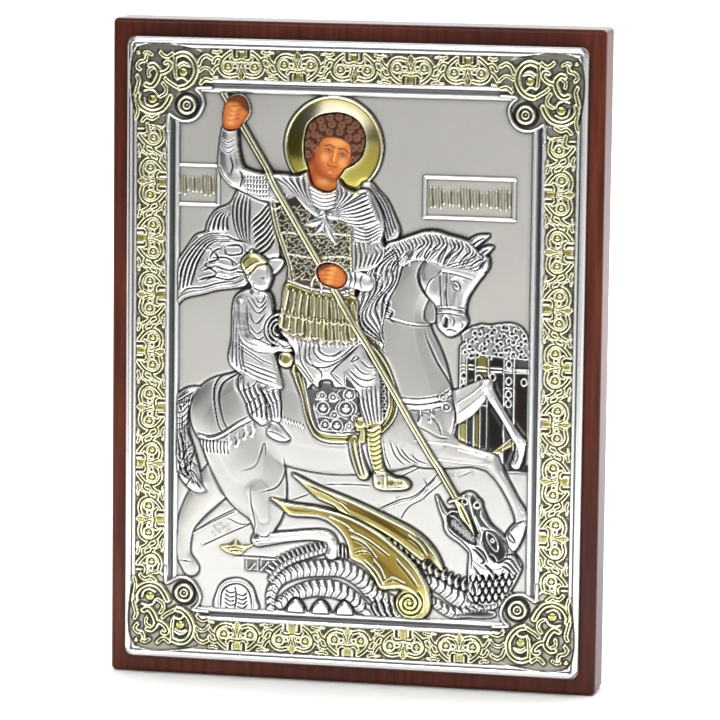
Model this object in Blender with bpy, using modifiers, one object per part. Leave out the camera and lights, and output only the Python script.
import math

import bmesh
import bpy
import numpy as np

# An icon panel: a wooden board that carries an embossed sheet with a rider over a dragon, a frame of scrolls,
# and painted parts that show in openings of the sheet.

# Driving sizes, in metres
BOARD_HEIGHT = 0.200
BOARD_WIDTH = 0.75 * BOARD_HEIGHT
BOARD_DEPTH = 0.075 * BOARD_HEIGHT
BOARD_ROUNDING = 0.1 * BOARD_DEPTH
GAP = 0.0003

# The relief is drawn in units that are a millimetre at the nominal size, from the middle of the sheet, y up
DRAWN = BOARD_HEIGHT / 200
SHEET_WIDTH, SHEET_HEIGHT = 140.3, 189.6
SHEET_CORNER = 3.0
SHEET_DEPTH = 1.0
FIELD_HALF_WIDTH, FIELD_HALF_HEIGHT = 53.85, 78.5
CELL = 0.6
TRIANGLES_LEFT = 0.0545
HIGH_RELIEF, HIGH_SHARE = 2.2, 0.5

# The painted parts lie in sunk beds, this far above the field
HEAD_BED = 0.1
RAISED_HAND_BED = 0.8
WAIST_HAND_BED = 1.7
INLAY_DEPTH = 1.0
INLAY_ROUNDING = 0.3

# The frame's moulding: distance in from the sheet's edge, height over the field
MOULDING = ((0.0, 0.2), (0.8, 1.15), (1.3, 1.1), (2.4, 1.05), (3.2, 0.5), (12.3, 0.6), (13.1, 1.25), (13.9, 0.3), (14.7, 0.15),
            (15.6, 1.1), (16.6, 0.0))

# Outlines of the painted parts
HEAD = ((-13.6, 70.0), (-10.5, 72.3), (-5.0, 73.2), (-1.0, 72.2), (1.8, 69.8), (3.2, 66.0), (2.6, 62.0), (1.5, 60.0),
        (-0.5, 58.2), (-2.8, 57.0), (-4.2, 55.0), (-5.2, 53.5), (-5.4, 51.0), (-8.4, 49.9), (-12.0, 51.6), (-13.0, 54.0),
        (-13.8, 57.0), (-14.8, 60.0), (-15.0, 64.0), (-14.6, 67.0))
RAISED_HAND = ((-39.8, 69.0), (-39.6, 73.6), (-38.4, 76.6), (-35.4, 78.0), (-33.0, 76.2), (-32.2, 72.8), (-34.0, 69.8),
               (-36.2, 67.8), (-38.6, 67.6))
WAIST_HAND = ((-10.2, 26.6), (-8.0, 28.0), (-4.6, 27.6), (-2.2, 25.8), (-1.8, 23.4), (-3.6, 21.4), (-6.4, 21.6),
              (-9.2, 23.0))


def smooth(points, closed=False, step=1.0):
    """Rows along a smooth curve through the given rows; every column is carried along."""
    p = np.asarray(points, float)
    if closed:
        p = np.vstack([p[-1], p, p[:2]])
    else:
        p = np.vstack([2 * p[0] - p[1], p, 2 * p[-1] - p[-2]])
    rows = []
    for a, b, c, d in zip(p[:-3], p[1:-2], p[2:-1], p[3:]):
        count = max(2, int(np.hypot(*(c[:2] - b[:2])) / step))
        t = np.arange(count)[:, None] / count
        bend = 2 * a - 5 * b + 4 * c - d
        twist = 3 * b - a - 3 * c + d
        rows.append(0.5 * (2 * b + (c - a) * t + bend * t**2 + twist * t**3))
    if not closed:
        rows.append(p[-2:-1])
    return np.vstack(rows)


def spaced(curve, count):
    run = np.append(0, np.cumsum(np.hypot(*np.diff(curve[:, :2], axis=0).T)))
    at = np.linspace(0, run[-1], count)
    return np.stack([np.interp(at, run, column) for column in curve.T], 1)


def round_bump(q):
    return np.sqrt(np.clip(1 - q * q, 0, 1))


def soft_bump(q):
    return np.clip(1 - q * q, 0, 1) ** 2


def distance_to(a, b, x, y):
    """Distance from a grid of points to the segment a to b, and how far along it the nearest point is."""
    d = b - a
    along = np.clip(((x - a[0]) * d[0] + (y - a[1]) * d[1]) / max(d[0] ** 2 + d[1] ** 2, 1e-9), 0, 1)
    return np.hypot(x - a[0] - along * d[0], y - a[1] - along * d[1]), along


class Relief:
    """Heights over the sheet, and which places have been drawn on."""

    def __init__(self):
        self.x = np.linspace(-SHEET_WIDTH / 2, SHEET_WIDTH / 2, round(SHEET_WIDTH / CELL) + 1)[None, :]
        self.y = np.linspace(-SHEET_HEIGHT / 2, SHEET_HEIGHT / 2, round(SHEET_HEIGHT / CELL) + 1)[:, None]
        self.high = np.zeros((self.y.size, self.x.size))
        self.cover = np.zeros(self.high.shape, bool)

    def near(self, x, y, reach):
        """The part of the grid round these points."""
        cols = (self.x[0] > np.min(x) - reach) & (self.x[0] < np.max(x) + reach)
        rows = (self.y[:, 0] > np.min(y) - reach) & (self.y[:, 0] < np.max(y) + reach)
        return np.ix_(rows, cols)

    def limb(self, rows):
        """A rounded form along rows of x, y, half width and height, blended into what is there."""
        lift = np.zeros(self.high.shape)
        route = smooth(rows)
        for a, b in zip(route[:-1], route[1:]):
            part = self.near((a[0], b[0]), (a[1], b[1]), max(a[2], b[2]))
            far, along = distance_to(a, b, self.x[:, part[1][0]], self.y[part[0][:, 0]])
            bump = (a[3] + along * (b[3] - a[3])) * round_bump(far / (a[2] + along * (b[2] - a[2])))
            lift[part] = np.maximum(lift[part], bump)
        blend = np.clip(2 * np.minimum(self.high, lift), 1e-6, 0.5)
        gap = np.clip(blend - np.abs(self.high - lift), 0, None)
        joined = np.maximum(self.high, lift) + gap**2 / (4 * blend)
        self.high = np.where(lift > 0, joined, self.high)
        self.cover |= lift > 0

    def line(self, points, half_width, height):
        """A raised line, or a sunk one where the height is negative."""
        route = smooth(points)
        lift = np.zeros(self.high.shape)
        for a, b in zip(route[:-1], route[1:]):
            part = self.near((a[0], b[0]), (a[1], b[1]), half_width)
            far = distance_to(a, b, self.x[:, part[1][0]], self.y[part[0][:, 0]])[0]
            lift[part] = np.maximum(lift[part], soft_bump(far / half_width))
        self.high += height * lift

    def shape(self, outline, height, roll, level=0.0):
        """A closed shape with an edge that rolls up over the distance given."""
        p = smooth(outline, closed=True)
        inside = np.zeros(self.high.shape, bool)
        away = np.full(self.high.shape, roll)
        for a, b in zip(p, np.roll(p, -1, 0)):
            crosses = (self.y >= min(a[1], b[1])) & (self.y < max(a[1], b[1]))
            if crosses.any():
                inside ^= crosses & (self.x < a[0] + (self.y - a[1]) / (b[1] - a[1]) * (b[0] - a[0]))
            part = self.near((a[0], b[0]), (a[1], b[1]), roll)
            far = distance_to(a, b, self.x[:, part[1][0]], self.y[part[0][:, 0]])[0]
            away[part] = np.minimum(away[part], far)
        self.high = np.where(inside, level + height * round_bump(1 - away / roll), self.high)
        self.cover |= inside

    def fan(self, first, last, count, half_width, height):
        """Folds spaced evenly between two guide curves."""
        a, b = (spaced(smooth(guide), 6) for guide in (first, last))
        for k in range(count):
            share = (k + 0.5) / count
            self.line(a + (b - a) * share, half_width, height)

    def ring(self, x, y, radius, half_width, height):
        far = np.hypot(self.x - x, self.y - y)
        self.high += height * soft_bump((far - radius) / half_width)

    def dome(self, x, y, radius, height):
        far = np.hypot(self.x - x, self.y - y)
        self.high = np.maximum(self.high, height * round_bump(far / radius))
        self.cover |= far < radius

    def set_on(self, ground, level):
        """Puts this group on the ground, level above the field."""
        ground.high = np.where(self.cover, level + self.high, ground.high)
        ground.cover |= self.cover


def moulded(sheet):
    """The moulding that runs round the sheet, and the frieze between its ridges."""
    inner_x = np.abs(sheet.x) - (SHEET_WIDTH / 2 - SHEET_CORNER)
    inner_y = np.abs(sheet.y) - (SHEET_HEIGHT / 2 - SHEET_CORNER)
    outside = np.hypot(np.maximum(inner_x, 0), np.maximum(inner_y, 0))
    inward = SHEET_CORNER - outside - np.minimum(np.maximum(inner_x, inner_y), 0)
    sheet.high = np.interp(inward, *zip(*MOULDING))


def corner(sheet, side, end):
    """A corner of the frieze, with two great roundels and a boss that stands into the field."""
    boss_x, boss_y = side * 51.7, end * 74.8
    far = np.hypot(sheet.x - boss_x, sheet.y - boss_y)
    frame_x, frame_y = SHEET_WIDTH / 2 - 3.4, SHEET_HEIGHT / 2 - 3.4
    square = (side * sheet.x > 46.5) & (end * sheet.y > 69.0) & (side * sheet.x < frame_x) & (end * sheet.y < frame_y)
    bed = (far < 5.6) | (square & (side * sheet.x > 57.0)) | (square & (end * sheet.y > 80.0))
    sheet.high = np.where(bed, 0.35, sheet.high)
    ridge = soft_bump((far - 5.4) / 0.9) * (side * sheet.x < 57.2) * (end * sheet.y < 79.6)
    sheet.high = np.maximum(sheet.high, 1.25 * ridge)
    for x, y in ((53.0, 85.3), (61.8, 75.6)):
        sheet.ring(side * x, end * y, 4.9, 0.8, 0.5)
        sheet.ring(side * x, end * y, 1.9, 0.8, 0.4)
    sheet.ring(boss_x, boss_y, 2.35, 0.8, 0.7)
    sheet.ring(boss_x, boss_y, 0, 0.9, 0.4)


def label(sheet, x0, x1, y0, y1):
    """The raised frame of an inscription."""
    sheet.line([(x0, y0), (x1, y0)], 0.8, 0.45)
    sheet.line([(x0, y1), (x1, y1)], 0.8, 0.45)
    sheet.line([(x1, y0), (x1, y1)], 0.8, 0.45)
    sheet.line([(x0, y0), (x0, y1)], 0.8, 0.45)


def ground_swell(sheet):
    hill = Relief()
    hill.shape([(-60, -42), (-44, -44), (-34, -45), (-24, -34), (0, -34), (24, -31), (42, -31), (60, -33), (60, -82),
                (-60, -82)], 0.35, 2.5)
    hill.set_on(sheet, 0.0)


def towers(sheet):
    """The walls of the city with people looking over them."""
    t = Relief()
    t.shape([(32.8, -26.5), (32.6, -10), (32.8, 4.6), (34.4, 10), (44, 12), (53, 11), (53.8, 2), (53.8, -16), (53.6, -32.2),
             (47, -32.4), (46.6, -27)], 0.6, 0.6)
    for x in (36.8, 43.9, 51.8):
        t.line([(x, -2.8), (x, -25)], 1.3, -0.5)
    for row in range(3):
        for k in range(7):
            t.dome(35.4 + 2.7 * k + 1.2 * (row % 2) - 0.2 * row, 4.2 + 2.8 * row, 1.4, 1.2)
    t.set_on(sheet, 0.0)


def far_legs(sheet):
    fore = Relief()
    fore.limb([(28, -15, 5.5, 1.2), (34, -12.5, 4.6, 1.2), (41, -7.3, 2.2, 1.1)])
    fore.limb([(40.8, -7.2, 2.2, 1.1), (43.3, -11.5, 1.4, 0.9), (50.3, -22.2, 1.5, 0.9), (51.6, -25.5, 1.5, 0.9),
               (50.3, -30.2, 1.9, 1.0)])
    fore.set_on(sheet, 0.3)
    hind = Relief()
    hind.limb([(-38, -36, 6, 1.0), (-45, -43.5, 4.8, 1.0), (-51.3, -55, 2.4, 0.9), (-51.8, -62, 2.2, 0.8),
               (-49.5, -66.5, 2.6, 0.9)])
    hind.set_on(sheet, 0.15)
    tail = Relief()
    tail.limb([(-46, -12.5, 1.6, 1.1), (-50.5, -13.6, 2.3, 1.3), (-53.3, -18, 2.6, 1.3), (-52, -31, 3.2, 1.3),
               (-50, -37.5, 3.0, 1.2), (-45.2, -42.4, 0.8, 0.6)])
    tail.set_on(sheet, 0.2)


def serpent(sheet):
    """The dragon's coils along the ground."""
    d = Relief()
    d.limb([(-44, -78, 1.8, 0.8), (-41.5, -72.5, 2.4, 1.0), (-36, -70.5, 2.4, 1.0), (-29.5, -78, 2.0, 0.9)])
    d.limb([(-36, -70.5, 1.6, 0.8), (-25, -66.2, 2.6, 1.1), (-13, -59.8, 3.3, 1.3), (-1.5, -60.5, 2.9, 1.2), (2, -63, 2.0, 0.9)])
    d.limb([(-26, -77.5, 2.0, 0.9), (-20.5, -67.6, 2.6, 1.1), (-6, -65.0, 3.0, 1.2), (4.5, -69, 2.9, 1.2), (14.5, -76.6, 2.4, 1.0)])
    d.limb([(-19.5, -76.5, 1.9, 0.8), (-16, -72.2, 2.3, 0.9), (-1, -71.2, 2.3, 1.0), (9, -78, 1.9, 0.8)])
    d.limb([(24.5, -66.5, 2.1, 1.0), (34.5, -69.6, 2.7, 1.1), (45, -69.6, 2.4, 1.0)])
    d.limb([(26, -72, 2.3, 0.9), (37, -72.8, 2.6, 0.9), (48, -69.4, 1.9, 0.8)])
    d.set_on(sheet, 0.2)


def dragon_head(sheet):
    d = Relief()
    d.shape([(36.6, -72), (36.6, -60), (40.6, -50), (43.8, -49.6), (49, -56.4), (52.4, -59.6), (50.6, -66), (44, -72.8)], 1.5, 2.6)
    d.limb([(44.6, -54.5, 3.6, 1.9), (41.4, -49.6, 2.2, 1.8), (38.8, -44.8, 2.2, 1.7), (36.6, -41.4, 2.5, 1.6)])
    d.limb([(39.8, -56.4, 2.6, 1.6), (35.2, -53.2, 2.2, 1.6), (31.4, -50.6, 2.4, 1.5), (29.8, -47.2, 1.6, 1.4),
            (26.3, -40.8, 0.5, 0.8)])
    d.ring(44, -53.6, 1.6, 0.8, 0.4)
    d.set_on(sheet, 0.45)


def wings(sheet):
    """The dragon's two gilded wings."""
    upper = Relief()
    upper.shape([(-18.2, -35.9), (0, -43.4), (20, -51.9), (26.2, -56.4), (29.2, -62), (28.6, -66.4), (26.4, -66.6), (19.6, -61.6),
                 (6, -50.8), (-5.2, -45.2), (-14, -40.2)], 1.5, 2.6)
    upper.set_on(sheet, 0.7)
    lower = Relief()
    lower.shape([(-24.8, -43.4), (-9, -45.9), (0, -48), (14, -56.4), (24, -67.6), (25.4, -73.4), (24, -77.4), (20.4, -79),
                 (16.6, -78), (14.6, -74.6), (17.2, -69.4), (9.6, -70.4), (4.6, -62.8), (0.2, -60.6), (-2.2, -54), (-10, -49.2),
                 (-18.2, -49.2)], 1.5, 2.4)
    lower.line([(0.2, -59.8), (5, -62.2), (10.4, -70)], 0.9, 0.5)
    lower.ring(19.4, -74, 2.4, 0.9, -0.6)
    lower.set_on(sheet, 1.0)


def horse(sheet):
    h = Relief()
    # near hind leg, from the haunch to the hoof
    h.limb([(-36, -22, 12, 2.0), (-33, -31, 11.5, 2.0), (-30, -39, 10, 1.9), (-26.8, -46, 6.4, 1.7), (-26.6, -52, 3.6, 1.5),
            (-27.2, -56.2, 2.4, 1.4)])
    h.limb([(-27.6, -56.6, 2.3, 1.4), (-20, -55, 1.6, 1.2), (-7.6, -55.2, 1.9, 1.3), (-6.2, -57.4, 1.7, 1.2), (-6.6, -60.2, 2.3, 1.3)])
    # barrel, chest and neck
    h.limb([(-38, -19, 12, 2.0), (-24, -18, 14.5, 2.1), (-8, -19, 16.6, 2.1), (8, -19, 15.5, 2.1), (19, -18, 13, 2.1)])
    h.limb([(20, -17, 12, 2.1), (17, -4, 12, 2.0), (14.5, 8, 9.5, 1.9), (15.5, 19, 8.2, 1.8), (21, 27, 7.5, 1.7), (27, 29, 6, 1.6)])
    # head and ears
    h.shape([(20.2, 26.5), (22.2, 19.6), (24.8, 16.5), (26.3, 10.4), (28.4, 8.2), (31.4, 7.9), (33.9, 9.4), (35, 12.2),
             (34.3, 18.6), (40.2, 27.4), (38.5, 31), (34.5, 34.2), (27, 33.5), (22, 30.5)], 1.9, 3.2, 0.45)
    h.limb([(34, 33.2, 1.7, 1.5), (37.5, 36.3, 1.6, 1.5), (41, 38.4, 0.5, 0.9)])
    h.limb([(36.5, 31.8, 1.5, 1.6), (39.5, 33.8, 1.3, 1.5), (42.2, 34.8, 0.5, 0.9)])
    # near foreleg
    h.limb([(22, -24, 8.5, 2.0), (30, -27.6, 4.6, 1.8), (37, -28.6, 2.9, 1.6), (42.6, -29.9, 2.8, 1.6)])
    h.limb([(42.9, -30.2, 2.7, 1.6), (46, -34.6, 1.7, 1.4), (49.4, -40.4, 1.5, 1.3), (51.9, -45.3, 1.9, 1.4), (51.2, -50, 2.1, 1.4),
            (49.6, -55, 1.5, 1.1)])
    # harness
    h.line([(-47.6, -25.6), (-39.6, -24.8), (-29.5, -19.2), (-15, -18.6)], 1.0, 0.35)
    h.line([(15.2, -12.2), (21, -12.3), (31, -8.8)], 1.0, 0.35)
    h.line([(25.8, 16), (29.5, 16.4), (34.2, 15.8)], 0.8, 0.35)
    h.line([(27.4, 27.2), (31, 26.8), (37.2, 25)], 0.8, 0.35)
    mane(h)
    h.set_on(sheet, 0.25)


def mane(h):
    h.shape([(38, 33), (33.6, 35.8), (23.4, 38.8), (10, 35.2), (4.2, 31.4), (3.2, 20), (1.2, 17), (2.4, 12), (8.4, 4.2), (10.8, 4.6),
             (10.2, 14), (12.4, 21), (15.4, 28), (19.6, 30.2), (29, 28.6), (40.6, 27.8)], 0.8, 1.6, 1.5)
    h.fan([(36, 35), (23.4, 37.6), (8.5, 33), (4.6, 27.4)], [(38.4, 28.6), (24.2, 30.6), (17.2, 29.8), (12.6, 22)], 3, 0.8, -0.35)


def cloak(sheet):
    """The cloak behind the rider, streaming out to the left."""
    c = Relief()
    c.shape([(-37.2, 50), (-43.2, 42.6), (-50.4, 33), (-53.6, 25), (-56.6, 14), (-52.2, 17.4), (-41, 19.4), (-33.5, 23.6), (-30, 27),
             (-22.5, 30), (-25.8, 46.4), (-31, 50.4)], 1.0, 1.6)
    c.fan([(-36.8, 46), (-43.8, 38), (-47, 33)], [(-27, 46), (-26, 38), (-27.6, 31)], 5, 0.9, -0.5)
    c.fan([(-38, 35), (-46, 34), (-51.4, 28.4), (-55, 18)], [(-35, 27), (-40, 24), (-45, 23), (-50, 19)], 3, 0.9, -0.5)
    c.shape([(2, 51.6), (7.4, 50), (12.8, 41.2), (14.4, 36.2), (12, 33), (9.6, 33.6), (6, 44)], 1.0, 1.3)
    c.set_on(sheet, 0.25)


def halo(sheet):
    disc = Relief()
    far = np.hypot(sheet.x + 6.4, sheet.y - 63.4)
    disc.cover = far < 15.2
    disc.high = 0.35 + 0.75 * (1 - (far / 15.2) ** 2)
    disc.ring(-6.4, 63.4, 14.4, 0.9, 0.4)
    disc.set_on(sheet, 0.1)


def youth(sheet):
    """The youth who rides behind, with cap, jug and bowl."""
    y = Relief()
    y.shape([(-32.5, 18.6), (-36.4, 16), (-37.6, 1), (-38.2, -3), (-32, -7.6), (-25.6, -10.2), (-21.4, -8.2), (-26.4, 8),
             (-24.2, 13.4), (-26.4, 17.4)], 1.7, 2.6)
    y.limb([(-34.2, 14.2, 2.2, 2.4), (-34.4, 8, 2.0, 2.5), (-33.2, 3.6, 1.9, 2.5), (-28.6, 1.8, 1.6, 2.4), (-21.2, 3.2, 1.2, 2.2)])
    y.limb([(-33.6, -9.6, 2.6, 1.5), (-30.6, -13.4, 2.4, 1.6), (-26, -20.2, 1.6, 1.4)])
    y.limb([(-28, -10.6, 2.2, 1.6), (-25.6, -14.8, 1.9, 1.6), (-24, -19.4, 1.5, 1.5)])
    y.limb([(-26, -21.6, 1.7, 1.2), (-22.5, -23.2, 1.7, 1.2), (-19, -25.3, 1.0, 0.9)])
    y.limb([(-30.6, 18.4, 1.9, 1.8), (-29.6, 21.5, 2.4, 1.9), (-28.6, 24, 3.6, 1.9)])
    y.shape([(-34.4, 25.2), (-34.2, 28.4), (-32, 30.4), (-29.2, 30.8), (-26.6, 27.8), (-29.4, 26.4)], 2.3, 1.8)
    for radius in (1.8, 3.4):
        y.limb([(-22.4 + radius * math.cos(0.8 + 0.6 * k), 8.4 + 1.25 * radius * math.sin(0.8 + 0.6 * k), 0.8, 1.5)
                for k in range(7)])
    y.dome(-20.2, -1.0, 2.5, 2.1)
    y.set_on(sheet, 1.1)


def saddle_cloth(sheet):
    s = Relief()
    s.shape([(-17.6, -2.6), (-14.4, -16), (-12.6, -22.6), (-8.6, -25.6), (0, -25.6), (10.6, -21.2), (14.4, -12.6), (9.6, 0.6), (0, 8),
             (-10, 6)], 0.5, 0.8)
    s.line([(-15.2, -6), (-12, -16), (-10.4, -22), (0, -23.2), (9.4, -19), (12, -12)], 0.8, -0.35)
    for x, y in ((-8.5, -15.3), (-1.5, -15.3), (-0.6, -10.6), (-7.4, -20), (-1.4, -20)):
        s.ring(x, y, 1.5, 0.7, 0.35)
    s.set_on(sheet, 1.5)


def rider(sheet):
    r = Relief()
    tunic(r)
    leg(r)
    torso(r)
    sleeves(r)
    mantle(r)
    r.set_on(sheet, 1.6)


def tunic(r):
    r.shape([(-21.4, 9), (-22.6, 4.6), (-17.2, -2.6), (-10.4, -9.2), (1.6, -9.6), (4.2, -18.8), (5.2, -20.9), (9.2, -19.6),
             (8.8, -8.4), (4.4, 2), (3.4, 7.4), (-6, 10)], 1.6, 3.0)
    for radius in (3, 5.6):
        r.line([(-8.6 + radius * math.cos(a), 3.6 + radius * math.sin(a)) for a in (3.3, 3.9, 4.6, 5.4)], 0.8, -0.5)
    r.fan([(-1.4, -5), (1.6, -8.4), (4.4, -18)], [(4.8, 0.6), (7.2, -2.8), (8.6, -17)], 3, 0.7, -0.5)


def leg(r):
    """The boot, and the stirrup leather with its knob."""
    r.limb([(6.8, -20.6, 2.1, 1.5), (7.6, -27, 2.0, 1.5), (9.4, -35, 1.9, 1.4)])
    r.limb([(9.6, -36.8, 2.3, 1.3), (13, -37.6, 2.0, 1.2), (17, -38.2, 1.2, 0.9)])
    r.limb([(1.6, -24.6, 1.4, 0.8), (2.6, -30, 1.4, 0.8), (4, -35.2, 1.4, 0.8)])
    r.dome(3.0, -19.6, 1.9, 2.1)


def torso(r):
    """The corselet, its belt and the skirt of straps below."""
    r.shape([(-25.6, 50.4), (-25.4, 44), (-21.6, 30), (-20, 19.6), (-12, 17.6), (0.6, 17.6), (0.4, 26), (1, 38), (2.6, 44), (0, 50),
             (-8, 52), (-18, 54)], 1.9, 4.5)
    r.line([(-25, 48), (-22.6, 37), (-19.6, 22.6)], 0.8, 0.4)
    r.shape([(-20.4, 20), (-12, 18.6), (0.4, 16.8), (3.8, 6.6), (-4, 4.8), (-18, 5.8), (-22.4, 7.4), (-21.8, 13)], 0.7, 0.9, 1.6)
    r.fan([(-20, 19), (-21, 13), (-21.4, 7)], [(0.4, 16), (1.8, 11), (3.4, 6)], 9, 0.7, 0.4)
    r.line([(-21, 12.4), (-10, 11.2), (2, 10.2)], 0.7, -0.35)
    r.line([(-20.4, 20.6), (-12, 21.4), (0.6, 20.4)], 1.5, 0.5)


def sleeves(r):
    r.limb([(-38.2, 66.8, 2.5, 1.6), (-38.3, 61.5, 3.0, 1.9), (-37.8, 56.4, 3.6, 2.1), (-35.6, 53.2, 3.3, 2.1)])
    r.limb([(-36.2, 53.6, 3.2, 2.1), (-31, 51.6, 3.5, 2.2), (-25.5, 50.4, 4.2, 2.3), (-20, 51, 3.6, 2.3)])
    r.fan([(-33.6, 55.2), (-30, 53.6), (-26, 53)], [(-34, 48.8), (-30, 47.4), (-26, 46)], 3, 0.7, -0.4)
    r.limb([(3, 47.4, 3.6, 2.0), (5.6, 42, 3.6, 2.1), (6.2, 37, 3.0, 1.9), (5.4, 33.2, 2.4, 1.5)])
    r.fan([(2.2, 46.6), (5.4, 45.6), (8.4, 43.8)], [(2.8, 35.6), (5.6, 35.8), (8.6, 38)], 4, 0.7, -0.4)
    r.limb([(-1.2, 23.8, 2.3, 2.1), (1.4, 23.6, 2.8, 2.1), (4, 22.8, 2.8, 1.7)])


def mantle(r):
    """The mantle over both shoulders, knotted on the breast."""
    r.shape([(-24.6, 54.6), (-13.2, 55.6), (-12, 47.6), (-8, 41), (-13, 43.4), (-21, 49)], 1.0, 1.6, 1.7)
    r.fan([(-22.8, 53.6), (-17.6, 47.6), (-10.6, 42.6)], [(-13.6, 54), (-13.2, 48.6), (-9.6, 44.6)], 3, 0.7, -0.5)
    r.shape([(-4.6, 54), (1.8, 50.4), (4.8, 52), (8, 42.6), (1.4, 40.2), (-8, 42), (-5, 46)], 1.0, 1.6, 1.7)
    r.fan([(-4, 52.6), (-3.6, 48.6), (-6.6, 44.4)], [(6.4, 45.4), (2.6, 41.6), (-5.4, 42.6)], 4, 0.7, -0.5)
    r.dome(-8.2, 42.6, 2.0, 3.2)
    for x, y in ((-13.8, 38.4), (-5.4, 34.6)):
        r.limb([(-8.4, 41.6, 0.8, 2.8), ((x - 8.2) / 2, (y + 41) / 2, 1.3, 2.7), (x, y, 0.8, 2.3)])


def spear(sheet):
    """The spear lies straight across all it meets."""
    shaft = Relief()
    shaft.limb([(-40.6, 79, 0.95, 0.75), (-4.2, 19, 0.95, 0.75), (32.2, -41, 0.95, 0.75)])
    shaft.limb([(32.2, -41, 1.6, 0.8), (35, -45.4, 1.5, 0.8), (37.4, -49.4, 0.5, 0.5)])
    steps = spaced(smooth([(-40.6, 79), (-4.2, 19), (37.4, -49.4)]), 80)
    under = np.zeros(sheet.high.shape)
    weight = np.full(sheet.high.shape, 1e-9)
    for x, y in steps:
        part = sheet.near((x,), (y,), 2.4)
        share = soft_bump(np.hypot(sheet.x[:, part[1][0]] - x, sheet.y[part[0][:, 0]] - y) / 2.4)
        under[part] += share * sheet.high[part].mean()
        weight[part] += share
    sheet.high = np.where(shaft.cover, under / weight + 0.5 + shaft.high, sheet.high)


def drawn():
    """The heights of the whole sheet."""
    sheet = Relief()
    label(sheet, 21.4, 48.6, 43.0, 55.0)
    label(sheet, -60.0, -42.0, 44.6, 56.4)
    ground_swell(sheet)
    towers(sheet)
    far_legs(sheet)
    serpent(sheet)
    halo(sheet)
    cloak(sheet)
    horse(sheet)
    saddle_cloth(sheet)
    youth(sheet)
    dragon_head(sheet)
    wings(sheet)
    rider(sheet)
    spear(sheet)
    frame = Relief()
    moulded(frame)
    in_field = (np.abs(sheet.x) < FIELD_HALF_WIDTH) & (np.abs(sheet.y) < FIELD_HALF_HEIGHT)
    frame.high = np.where(in_field, sheet.high, frame.high)
    for side in (-1, 1):
        for end in (-1, 1):
            corner(frame, side, end)
    above = np.maximum(frame.high - HIGH_RELIEF, 0)
    return np.minimum(frame.high, HIGH_RELIEF) + HIGH_SHARE * above


def rounded_corners(x, y):
    """Moves the points of a rectangle so that its corners become round."""
    reach = SHEET_CORNER
    over_x = np.maximum(np.abs(x) - (SHEET_WIDTH / 2 - reach), 0) / reach
    over_y = np.maximum(np.abs(y) - (SHEET_HEIGHT / 2 - reach), 0) / reach
    shrink_x = np.sqrt(1 - over_y**2 / 2)
    shrink_y = np.sqrt(1 - over_x**2 / 2)
    new_x = np.sign(x) * (np.minimum(np.abs(x), SHEET_WIDTH / 2 - reach) + reach * over_x * shrink_x)
    new_y = np.sign(y) * (np.minimum(np.abs(y), SHEET_HEIGHT / 2 - reach) + reach * over_y * shrink_y)
    return new_x, new_y


def sheet_mesh(heights):
    """A grid lifted to the heights, with walls down from its border and a flat back."""
    rows, cols = heights.shape
    build = bmesh.new()
    bmesh.ops.create_grid(build, x_segments=cols - 1, y_segments=rows - 1, size=1)
    for vertex in build.verts:
        across = (vertex.co.x + 1) / 2 * (cols - 1)
        up = (vertex.co.y + 1) / 2 * (rows - 1)
        high = heights[round(up), round(across)]
        x, y = rounded_corners(vertex.co.x * SHEET_WIDTH / 2, vertex.co.y * SHEET_HEIGHT / 2)
        vertex.co = (x * DRAWN, y * DRAWN, (SHEET_DEPTH + high) * DRAWN)
    border = [edge for edge in build.edges if edge.is_boundary]
    walls = bmesh.ops.extrude_edge_only(build, edges=border)["geom"]
    for item in walls:
        if isinstance(item, bmesh.types.BMVert):
            item.co.z = 0
    low = [edge for edge in build.edges if edge.is_boundary]
    bmesh.ops.contextual_create(build, geom=low)
    bmesh.ops.recalc_face_normals(build, faces=build.faces)
    mesh = bpy.data.meshes.new("embossed_plate")
    build.to_mesh(mesh)
    build.free()
    return mesh


def added(collection, name, data, material=None):
    node = bpy.data.objects.new(name, data)
    collection.objects.link(node)
    if material:
        data.materials.append(material)
    return node


def facing_front(node, depth):
    """Turns what was drawn lying down to face the front, its back at this depth before the board."""
    node.rotation_euler = (math.pi / 2, 0, 0)
    node.location = (0, depth, BOARD_HEIGHT / 2)


def curved_piece(name, outline, depth, rounding, grown):
    """A flat piece with this outline and a rounded edge, from its middle plane out to both sides."""
    curve = bpy.data.curves.new(name, "CURVE")
    curve.dimensions = "2D"
    curve.fill_mode = "BOTH"
    curve.bevel_depth = rounding * DRAWN
    curve.bevel_resolution = 1
    curve.extrude = (depth / 2 - rounding) * DRAWN
    curve.offset = grown - rounding * DRAWN
    points = smooth(outline, closed=True, step=1.6)
    line = curve.splines.new("POLY")
    line.points.add(len(points) - 1)
    for point, (x, y) in zip(line.points, points):
        point.co = (x * DRAWN, y * DRAWN, 0, 1)
    line.use_cyclic_u = True
    return curve


def made_mesh(collection, name, curve):
    """The curve turned into a plain mesh object, as a Boolean needs."""
    guide = bpy.data.objects.new(name + "_guide", curve)
    collection.objects.link(guide)
    graph = bpy.context.evaluated_depsgraph_get()
    mesh = bpy.data.meshes.new_from_object(guide.evaluated_get(graph))
    mesh.name = name
    bpy.data.objects.remove(guide)
    return added(collection, name, mesh)


def surface(name, colour, metallic, roughness):
    material = bpy.data.materials.new(name)
    material.use_nodes = True
    shader = material.node_tree.nodes["Principled BSDF"]
    shader.inputs["Base Color"].default_value = (*colour, 1)
    shader.inputs["Metallic"].default_value = metallic
    shader.inputs["Roughness"].default_value = roughness
    return material


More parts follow.
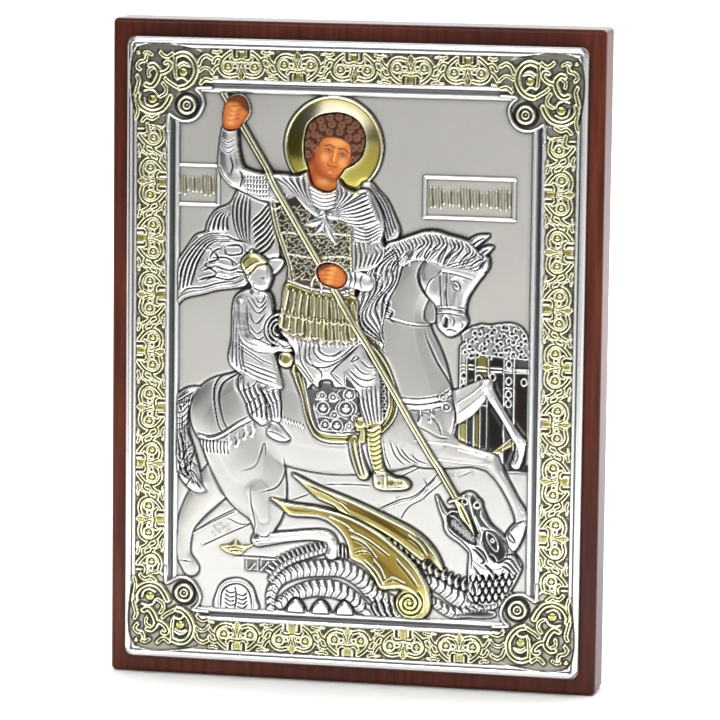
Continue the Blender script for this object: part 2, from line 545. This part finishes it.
def wooden_board(collection):
    build = bmesh.new()
    bmesh.ops.create_cube(build, size=1)
    bmesh.ops.scale(build, vec=(BOARD_WIDTH, BOARD_DEPTH, BOARD_HEIGHT), verts=build.verts)
    bmesh.ops.translate(build, vec=(0, 0, BOARD_HEIGHT / 2), verts=build.verts)
    mesh = bpy.data.meshes.new("wooden_board")
    build.to_mesh(mesh)
    build.free()
    board = added(collection, "wooden_board", mesh, surface("mahogany", (0.12, 0.02, 0.015), 0, 0.35))
    rounding = board.modifiers.new("rounded edges", "BEVEL")
    rounding.width = BOARD_ROUNDING
    rounding.segments = 4


def embossed_plate(collection, back):
    material = surface("embossed silver", (0.75, 0.74, 0.71), 1, 0.3)
    plate = added(collection, "embossed_plate", sheet_mesh(drawn()), material)
    facing_front(plate, back)
    fewer = plate.modifiers.new("fewer triangles", "DECIMATE")
    fewer.ratio = TRIANGLES_LEFT
    return plate


def painted_part(collection, plate, name, outline, level, material, back):
    """An inlay, and the opening that is sunk for it in the sheet."""
    bed = (SHEET_DEPTH + level) * DRAWN
    inlay = made_mesh(collection, name, curved_piece(name, outline, INLAY_DEPTH, INLAY_ROUNDING, 0))
    inlay.data.materials.append(material)
    facing_front(inlay, back - bed - GAP - INLAY_DEPTH / 2 * DRAWN)
    reach = 12
    cutter = made_mesh(collection, name + "_cutter", curved_piece(name, outline, reach, 0, GAP))
    facing_front(cutter, back - bed - reach / 2 * DRAWN)
    cutter.hide_render = True
    cutter.display_type = "WIRE"
    opening = plate.modifiers.new("opening for " + name, "BOOLEAN")
    opening.object = cutter
    opening.operation = "DIFFERENCE"
    opening.solver = "EXACT"


def build():
    for item in list(bpy.data.objects):
        bpy.data.objects.remove(item)
    collection = bpy.data.collections.new("icon_panel")
    bpy.context.scene.collection.children.link(collection)
    back = -BOARD_DEPTH / 2 - GAP
    wooden_board(collection)
    plate = embossed_plate(collection, back)
    skin = surface("painted skin", (0.6, 0.25, 0.09), 0, 0.4)
    painted_part(collection, plate, "painted_head", HEAD, HEAD_BED, skin, back)
    painted_part(collection, plate, "painted_right_hand", RAISED_HAND, RAISED_HAND_BED, skin, back)
    painted_part(collection, plate, "painted_left_hand", WAIST_HAND, WAIST_HAND_BED, skin, back)


build()
